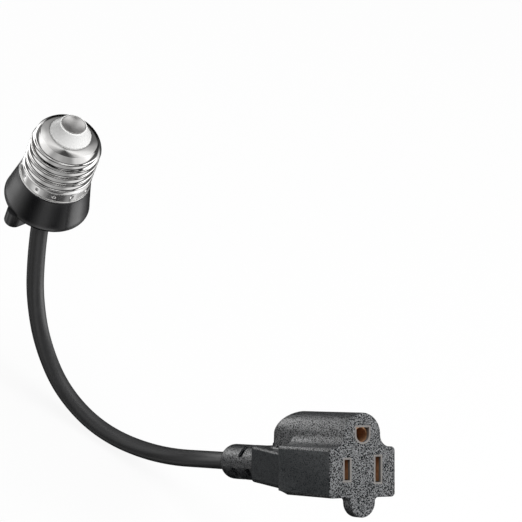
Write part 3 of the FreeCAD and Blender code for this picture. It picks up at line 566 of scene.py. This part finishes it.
ARCH = 7.5
FACE_LOW = -9.5
BLOCK_BACK = -33.0
RAMP_FRONT = -28.0
RAMP_RUN = 5.0
RAMP_RISE = 1.6
NECK_FRONT = -32.0
NECK_RUN = 27.5
NECK_LOW = -7.9
NECK_HIGH = 5.0
NECK_RISE = 1.6
SLOT_TURN = 71
RIM_BORDER = 0.65


def face_outline():
    """The face's outline: a block with round corners and the arch on top."""
    width, low, step, corner, fillet = 13.55, FACE_LOW, 7.7, 1.4, 4.0
    lift = step + fillet - GROUND_RISE
    middle = math.sqrt((ARCH + fillet) ** 2 - lift ** 2)
    share = ARCH / (ARCH + fillet)
    right = bend((width - corner, low), (width, low + corner), corner, 1, 6)
    right += bend((width, step - corner), (width - corner, step), corner, 1, 6)
    right += bend((middle, step), (middle * share, GROUND_RISE + lift * share), fillet, -1, 10)
    right += bend((middle * share, GROUND_RISE + lift * share), (0, GROUND_RISE + ARCH),
                  ARCH, 1, 20)
    left = [(-x, y) for x, y in reversed(right)]
    return tidy(right + left)


def blade_outline(centre, half_height):
    """The opening for a blade slot with its rim."""
    left, right = centre - 1.1 - RIM_BORDER, centre + 1.1 + RIM_BORDER
    low, high = -half_height - RIM_BORDER, half_height + RIM_BORDER
    return [(left, low), (right, low), (right, high), (left, high)]


def ground_outline(border):
    """The ground hole, round below and flat on top, with a border round it."""
    wide = 2.6 + border
    top = GROUND_RISE + 2.5 + border
    return tidy(arc((0, GROUND_RISE), wide, 180, 360, 24) + [(wide, top), (-wide, top)])


def outlet_piece(name, points, faces, sharp=35):
    """A grained piece in the outlet's own place."""
    return make_piece(name, points, faces, outlet_place, outlet_grey, sharp)


def rounded_section(half_width, low, high, corner, depth):
    """A ring of points round a rectangle with round corners, at a depth."""
    side, bottom, top = half_width - corner, low + corner, high - corner
    points = []
    for x, y, start in ((side, bottom, 270), (side, top, 0), (-side, top, 90),
                        (-side, bottom, 180)):
        points += [(px, py, depth) for px, py in arc((x, y), corner, start, start + 90, 5)]
    return points


def paint_wall_shade(piece, nearest):
    """Give the flat side walls below the arch, beyond a half width, their smoother finish and a
    darker tone with fainter specks, which is painted shade.
    """
    across = outlet_place.to_3x3() @ Vector((1, 0, 0))
    piece.data.materials.append(wall_painted_shade)
    for face in piece.data.polygons:
        spot = outlet_place.inverted() @ (face.center / MM)
        # Faces turned to either side get the darker copy: painted shade, chosen by which way a
        # face is turned.
        if abs(face.normal.dot(across)) > 0.95 and spot.y < 6.2 and abs(spot.x) > nearest:
            face.material_index = len(piece.data.materials) - 1


def make_block():
    """The block with the arch on it, hollow for the carrier and open for the slots' rims."""
    points, faces = prism(face_outline(), 0.0, BLOCK_BACK, 0.55, 0.9, between=(RAMP_FRONT,))
    ramp = []
    for x, y, z in points:
        limit = FACE_LOW + max(0.0, min(1.0, (RAMP_FRONT - z) / RAMP_RUN)) * RAMP_RISE
        ramp.append((x, max(y, limit), z))
    block = outlet_piece("outlet_block", ramp, faces, 30)
    wide, low, high = 11.2, -7.0, 5.6
    space = tidy([(-wide, low), (wide, low), (wide, high), (high, high), (high, GROUND_RISE)]
                 + arc((0, GROUND_RISE), high, 0, 180, 24)
                 + [(-high, GROUND_RISE), (-high, high), (-wide, high)])
    carve(block, outlet_piece("cutter", *prism(space, -1.2, -29.5, 0, 0, 1)))
    for outline in (blade_outline(-BLADE_REACH, 3.5), blade_outline(BLADE_REACH, 4.35),
                    ground_outline(RIM_BORDER)):
        carve(block, outlet_piece("cutter", *prism(outline, 1.0, -2.5, 0, 0, 1)))
    block.data.shade_smooth()
    block.data.set_sharp_from_angle(angle=math.radians(30))
    paint_wall_shade(block, 12)
    return block


def arch_end(height):
    """Depth of the arch's sloping back at a height above the blade slots."""
    foot, lean, deepest = 7.0, 10.5, -49.0
    rise = GROUND_RISE + ARCH + 1 - foot
    bow = (rise ** 2 + lean ** 2) / (2 * lean)
    above = max(height - foot, 0.0)
    return deepest + bow - math.sqrt(bow ** 2 - above ** 2)


def make_arch_tail():
    """The arch behind the block, with a sloping back and a round rim."""
    outline = tidy(arc((0, GROUND_RISE), ARCH, 0, 180, 40) + [(-ARCH, -4.0), (ARCH, -4.0)])
    outline = [Vector(point) for point in outline]
    reach = 4.5
    rings = [[(point.x, point.y, -30.0) for point in outline]]
    for step in range(11):
        angle = math.pi / 2 * step / 10
        inset = reach * (1 - math.cos(angle))
        ring = []
        for x, y in offset(outline, inset):
            ring.append((x, y, arch_end(y) + reach * (1 - math.sin(angle))))
        rings.append(ring)
    for share in (0.66, 0.33):
        ring = []
        for x, y, depth in rings[11]:
            height = 4.0 + (y - 4.0) * share
            ring.append((x * share, height, arch_end(height)))
        rings.append(ring)
    count = len(outline)
    points = [point for ring in rings for point in ring]
    points.append((0, 4.0, arch_end(4.0)))
    faces = [tuple(range(count))] + bridge(len(rings), count)
    last = (len(rings) - 1) * count
    for index in range(count):
        faces.append((last + (index + 1) % count, last + index, len(points) - 1))
    return outlet_piece("outlet_arch", points, faces)


def neck_top(depth):
    """Height of the neck's upper side at a depth."""
    return NECK_HIGH + NECK_RISE * (NECK_FRONT - depth) / NECK_RUN


def make_scoop():
    """The hollow blend where the arch's back comes down on the neck."""
    path = [(-7.5, -33.5, 180), (-7.5, -39.0, 180)]
    path += [(x, depth, turned) for (x, depth), turned
             in zip(arc((-3.0, -44.5), 4.5, 180, 270, 9), range(180, 271, 10))]
    path += [(-x, depth, 540 - turned) for x, depth, turned in reversed(path)]
    points = []
    for x, depth, turned in path:
        behind = max(0.0, -math.sin(math.radians(turned)))
        size = 1.0 + 1.5 * behind
        for step in range(9):
            angle = math.pi / 2 * step / 8
            away = size * (1 - math.sin(angle)) - 0.02
            back = depth + away * math.sin(math.radians(turned))
            points.append((x + away * math.cos(math.radians(turned)),
                           neck_top(back) - 0.03 + size * (1 - math.cos(angle)), back))
    faces = []
    for level in range(len(path) - 1):
        for index in range(8):
            first = level * 9 + index
            faces.append((first, first + 1, first + 10, first + 9))
    return outlet_piece("outlet_scoop", points, faces, 60)


def make_tab():
    """The pull tab under the face, with round blends to the block."""
    half, blend, low = 5.25, 1.4, FACE_LOW
    centre = half - 16.3
    outline = [(-half - blend, low + 1)]
    outline += bend((-half - blend, low), (-half, low - blend), blend, -1, 6)
    outline += arc((0, centre), half, 180, 360, 28)
    outline += bend((half, low - blend), (half + blend, low), blend, -1, 6)
    outline += [(half + blend, low + 1)]
    return outlet_piece("outlet_tab", *prism(tidy(outline), -0.02, -4.6, 0.5, 0.5))


def make_neck():
    """The neck: narrower and a little higher towards the cord."""
    sections = []
    for share in (0.0, 0.25, 0.5, 0.75, 1.0):
        depth = NECK_FRONT - NECK_RUN * share
        sections.append(rounded_section(
            12.9 - 5.0 * share, NECK_LOW + 1.3 * share, NECK_HIGH + NECK_RISE * share, 1.5, depth))
    sections.append([(x * 0.955, y * 0.945, -59.85) for x, y, z in sections[-1]])
    count = len(sections[0])
    points = [point for section in sections for point in section]
    neck = outlet_piece("outlet_neck", points, caps(len(points), count)
                        + bridge(len(sections), count))
    paint_wall_shade(neck, 7)
    return neck


def make_relief():
    """The strain relief: half rings cut in turn from the top and from the underside."""
    radius, deep, end, lead, half = 6.5, 4.2, -86.0, 0.18, 1.4
    slots = [(-60.7 - 4.95 * number, 90 + 180 * (number % 2)) for number in range(4)]
    depths = {-58.0, end + 2.8}
    for middle, facing in slots:
        for edge in (-half, half):
            depths.update((middle + edge - lead / 2, middle + edge + lead / 2))
    levels = [(depth, radius) for depth in sorted(depths, reverse=True)]
    levels += [(y, x) for x, y in bend((radius, end + 2.8), (radius - 2.8, end), 2.8, -1, 8)[1:]]
    levels += [(end, 3.34)]
    angles = {float(angle) for angle in range(0, 360, 5)}
    for facing in (90, 270):
        for edge in (-SLOT_TURN, SLOT_TURN):
            angles.update(((facing + edge - 1) % 360, (facing + edge + 1) % 360))
    turns = sorted(angles)
    points = []
    for depth, wide in levels:
        for angle in turns:
            here = wide
            for middle, facing in slots:
                away = abs((angle - facing + 180) % 360 - 180)
                if abs(depth - middle) < half and away < SLOT_TURN:
                    here = deep
            turned = math.radians(angle)
            points.append((here * math.cos(turned), here * math.sin(turned), depth))
    count = len(turns)
    faces = bridge(len(levels), count) + caps(len(points), count)
    return make_piece("outlet_relief", points, faces, outlet_place, relief_dark, 30)


def make_relief_core():
    """The core of the strain relief, seen through its slots: near black and matt, it stands for
    the black cord inside and paints the shade in the slots.
    """
    # Its outer side stands just above the floors of the slots, so they show its near black:
    # painted shade.
    outline = [(4.3, -58.5), (4.3, -79.5), (3.4, -79.5), (3.4, -58.5)]
    return lathe("relief_core", outline, outlet_place, slot_painted_shade, 96)


outlet = merge([make_block(), make_arch_tail(), make_scoop(), make_tab(), make_neck(),
                make_relief()], "outlet_moulding")
dress(outlet, "outlet_charcoal", "outlet_housing")
dress(make_relief_core(), "cap_black", "outlet_housing")


# Cord on the route of its solid

def make_cord():
    """The cord along the control points of its solid's route."""
    route = [(0, 0, -5.7), (0, 0, -23), (3, 2, -44), (7, 5, -65), (15, 10, -86), (28, 18, -104),
             (46, 29, -111), (66, 42, -104)]
    route += [tuple(outlet_place @ Vector((0, 0, depth))) for depth in (-96, -73.5)]
    curve = bpy.data.curves.new("cord_line", "CURVE")
    curve.dimensions = "3D"
    curve.bevel_depth = CORD_RADIUS * MM
    curve.bevel_resolution = 12
    curve.resolution_u = 24
    curve.use_fill_caps = True
    spline = curve.splines.new("NURBS")
    spline.points.add(len(route) - 1)
    for point, place in zip(spline.points, route):
        point.co = (*[value * MM for value in place], 1)
    spline.order_u = 3
    spline.use_endpoint_u = True
    curve.materials.append(sheath)
    piece = bpy.data.objects.new("cord_line", curve)
    bpy.context.scene.collection.objects.link(piece)
    return piece


cord_line = make_cord()
dress(cord_line, "cord_black", "cord")


# Camera at the photograph's angle

CAMERA_LENS = 148.45
CAMERA_PLACE = (0.41583, -0.34839, 0.54905)
CAMERA_RIGHT = (0.4633, 0.8306, 0.3089)
CAMERA_BACK = (0.4663, -0.5249, 0.7120)

camera_data = bpy.data.cameras.new("camera")
camera_data.sensor_width = 36
camera_data.lens = CAMERA_LENS
camera = bpy.data.objects.new("camera", camera_data)
right = Vector(CAMERA_RIGHT).normalized()
back = Vector(CAMERA_BACK).normalized()
up = back.cross(right).normalized()
right = up.cross(back).normalized()
turn = Matrix((right, up, back)).transposed()
camera.matrix_world = Matrix.Translation(CAMERA_PLACE) @ turn.to_4x4()
bpy.context.scene.collection.objects.link(camera)
bpy.context.scene.camera = camera


# Floor, world and lamps

def make_floor():
    """A pale floor: near white to the camera with the object's shadow, and unseen by gloss."""
    material = bpy.data.materials.new("floor")
    material.use_nodes = True
    tree = material.node_tree
    tree.nodes.clear()
    output = tree.nodes.new("ShaderNodeOutputMaterial")
    diffuse = tree.nodes.new("ShaderNodeBsdfDiffuse")
    colour = tree.nodes.new("ShaderNodeMixRGB")
    colour.inputs[1].default_value = (0.15, 0.15, 0.15, 1)
    colour.inputs[2].default_value = (0.85, 0.85, 0.85, 1)
    tree.links.new(colour.outputs[0], diffuse.inputs["Color"])
    glow = tree.nodes.new("ShaderNodeEmission")
    glow.inputs["Strength"].default_value = 1.0
    path = tree.nodes.new("ShaderNodeLightPath")
    share = tree.nodes.new("ShaderNodeMath")
    share.operation = "MULTIPLY"
    share.inputs[1].default_value = 0.91
    mix = tree.nodes.new("ShaderNodeMixShader")
    tree.links.new(path.outputs["Is Camera Ray"], colour.inputs[0])
    tree.links.new(path.outputs["Is Camera Ray"], share.inputs[0])
    tree.links.new(share.outputs[0], mix.inputs[0])
    tree.links.new(diffuse.outputs[0], mix.inputs[1])
    tree.links.new(glow.outputs[0], mix.inputs[2])
    tree.links.new(mix.outputs[0], output.inputs[0])
    low = cad_box[0].z - 0.001
    mesh = bpy.data.meshes.new("floor")
    mesh.from_pydata([(-3, -3, low), (3, -3, low), (3, 3, low), (-3, 3, low)], [], [(0, 1, 2, 3)])
    mesh.materials.append(material)
    floor = bpy.data.objects.new("floor", mesh)
    bpy.context.scene.collection.objects.link(floor)
    floor.visible_glossy = False


def add_ramp(tree, stops):
    """A smooth ramp of grey over a turn of 360 degrees: pairs of angle and brightness."""
    ramp = tree.nodes.new("ShaderNodeValToRGB")
    ramp.color_ramp.interpolation = "EASE"
    marks = ramp.color_ramp.elements
    while len(marks) < len(stops):
        marks.new(0.5)
    for mark, (angle, grey) in zip(marks, stops):
        mark.position = (angle + 180) / 360
        mark.color = (grey, grey, grey, 1)
    return ramp


def make_world():
    """White to the camera, a plain sky to matt surfaces and soft boxes to glossy ones."""
    world = bpy.data.worlds.new("studio")
    bpy.context.scene.world = world
    world.use_nodes = True
    tree = world.node_tree
    link = tree.links.new
    where = tree.nodes.new("ShaderNodeTexCoord")
    parts = tree.nodes.new("ShaderNodeSeparateXYZ")
    link(where.outputs["Generated"], parts.inputs[0])
    compass = tree.nodes.new("ShaderNodeMath")
    compass.operation = "ARCTAN2"
    link(parts.outputs["Y"], compass.inputs[0])
    link(parts.outputs["X"], compass.inputs[1])
    turn = tree.nodes.new("ShaderNodeMapRange")
    turn.inputs["From Min"].default_value = -math.pi
    turn.inputs["From Max"].default_value = math.pi
    link(compass.outputs[0], turn.inputs["Value"])
    boxes = None
    for stops, start, end in ((DEEP_BOXES, 0, 0), (MIDDLE_BOXES, -0.68, -0.62),
                              (LOW_BOXES, -0.56, -0.5), (HIGH_BOXES, -0.12, 0.2),
                              (TOP_BOXES, 0.6, 0.8)):
        ring = add_ramp(tree, stops)
        link(turn.outputs["Result"], ring.inputs["Fac"])
        if boxes is None:
            boxes = ring
            continue
        rise = tree.nodes.new("ShaderNodeMapRange")
        rise.interpolation_type = "SMOOTHSTEP"
        rise.inputs["From Min"].default_value = start
        rise.inputs["From Max"].default_value = end
        link(parts.outputs["Z"], rise.inputs["Value"])
        mixed = tree.nodes.new("ShaderNodeMixRGB")
        link(rise.outputs["Result"], mixed.inputs[0])
        link(boxes.outputs[0], mixed.inputs[1])
        link(ring.outputs[0], mixed.inputs[2])
        boxes = mixed
    level = tree.nodes.new("ShaderNodeMapRange")
    level.inputs["From Min"].default_value = -1.0
    link(parts.outputs["Z"], level.inputs["Value"])
    strips = add_ramp(tree, [(tall * 180, grey) for tall, grey in STRIPS])
    link(level.outputs["Result"], strips.inputs["Fac"])
    striped = tree.nodes.new("ShaderNodeMixRGB")
    striped.blend_type = "MULTIPLY"
    striped.inputs[0].default_value = 1.0
    link(boxes.outputs[0], striped.inputs[1])
    link(strips.outputs["Color"], striped.inputs[2])
    sky = tree.nodes.new("ShaderNodeMapRange")
    sky.inputs["From Min"].default_value = -1.0
    sky.inputs["To Min"].default_value = SKY_LOW
    sky.inputs["To Max"].default_value = SKY_HIGH
    link(parts.outputs["Z"], sky.inputs["Value"])
    path = tree.nodes.new("ShaderNodeLightPath")
    gloss = tree.nodes.new("ShaderNodeMixRGB")
    link(path.outputs["Is Glossy Ray"], gloss.inputs[0])
    link(sky.outputs["Result"], gloss.inputs[1])
    link(striped.outputs[0], gloss.inputs[2])
    seen = tree.nodes.new("ShaderNodeMixRGB")
    seen.inputs[2].default_value = (1, 1, 1, 1)
    link(path.outputs["Is Camera Ray"], seen.inputs[0])
    link(gloss.outputs[0], seen.inputs[1])
    background = tree.nodes["Background"]
    background.inputs["Strength"].default_value = 1.0
    link(seen.outputs[0], background.inputs["Color"])


def add_lamp(name, place, aim, size, power):
    """A soft square lamp that glossy surfaces don't show."""
    data = bpy.data.lights.new(name, "AREA")
    data.shape = "SQUARE"
    data.size = size
    data.energy = power
    lamp = bpy.data.objects.new(name, data)
    lamp.location = place
    lamp.rotation_euler = (Vector(aim) - Vector(place)).to_track_quat("-Z", "Y").to_euler()
    lamp.visible_glossy = False
    bpy.context.scene.collection.objects.link(lamp)


# Soft boxes round the object: pairs of compass angle and brightness, from below to above.
# STRIPS dims them by height: pairs of the direction's upward part and a share.
DEEP_BOXES = [(-180, 0.1), (-165, 0.2), (-152, 0.3), (-138, 1.0), (-124, 0.42), (-110, 0.42),
              (-95, 0.65), (-78, 1.0), (-65, 0.46), (-50, 0.24), (-35, 0.08), (-5, 0.05),
              (10, 0.08), (25, 0.27), (38, 0.45), (52, 0.8), (66, 0.5), (85, 0.45), (105, 0.1),
              (125, 0.02), (160, 0.03), (180, 0.1)]
MIDDLE_BOXES = [(-180, 0.05), (-125, 0.05), (-105, 0.3), (-90, 0.2), (-72, 0.3), (-50, 0.9),
                (-30, 1.8), (-5, 1.6), (15, 0.4), (30, 0.1), (50, 0.2), (64, 0.6), (87, 0.3),
                (105, 0.05), (180, 0.05)]
LOW_BOXES = [(-180, 2.4), (-165, 3.6), (-138, 2.2), (-107, 0.9), (-95, 0.45), (-83, 0.15),
             (-72, 0.02), (-60, 0.03), (-48, 0.25), (-37, 0.6), (-24, 0.55), (-12, 0.22),
             (2, 0.08), (15, 0.3), (32, 1.1), (46, 2.3), (64, 2.6), (87, 0.9), (105, 0.08),
             (125, 0.02), (158, 0.05), (168, 0.6), (180, 2.4)]
HIGH_BOXES = [(-180, 0.4), (-150, 1.1), (-130, 1.3), (-110, 1.0), (-90, 0.85), (-70, 0.4),
              (-50, 0.5), (-30, 0.4), (-10, 0.35), (10, 0.8), (30, 1.0), (50, 1.4), (70, 1.0),
              (90, 0.5), (110, 0.15), (130, 0.1), (150, 0.2), (180, 0.4)]
TOP_BOXES = [(-180, 0.6), (-130, 0.95), (-110, 0.7), (-90, 0.45), (-70, 0.22), (-50, 0.07),
             (-10, 0.06), (10, 0.18), (30, 0.65), (50, 1.15), (70, 1.0), (90, 0.6), (110, 0.4),
             (150, 0.35), (180, 0.6)]
STRIPS = [(-1, 0.04), (-0.88, 0.12), (-0.77, 1.0), (-0.3, 1.0), (-0.14, 0.06), (0.08, 0.06),
          (0.18, 1.0), (1, 1.0)]
SKY_LOW = 0.05
SKY_HIGH = 0.4
make_floor()
make_world()
middle = (0.07, 0.03, -0.03)
add_lamp("key", (0.63, 0.40, 0.64), middle, 0.45, 6.3)
add_lamp("top", (-0.1, -0.05, 0.9), middle, 0.5, 3.8)
bpy.context.scene.view_settings.view_transform = "Standard"
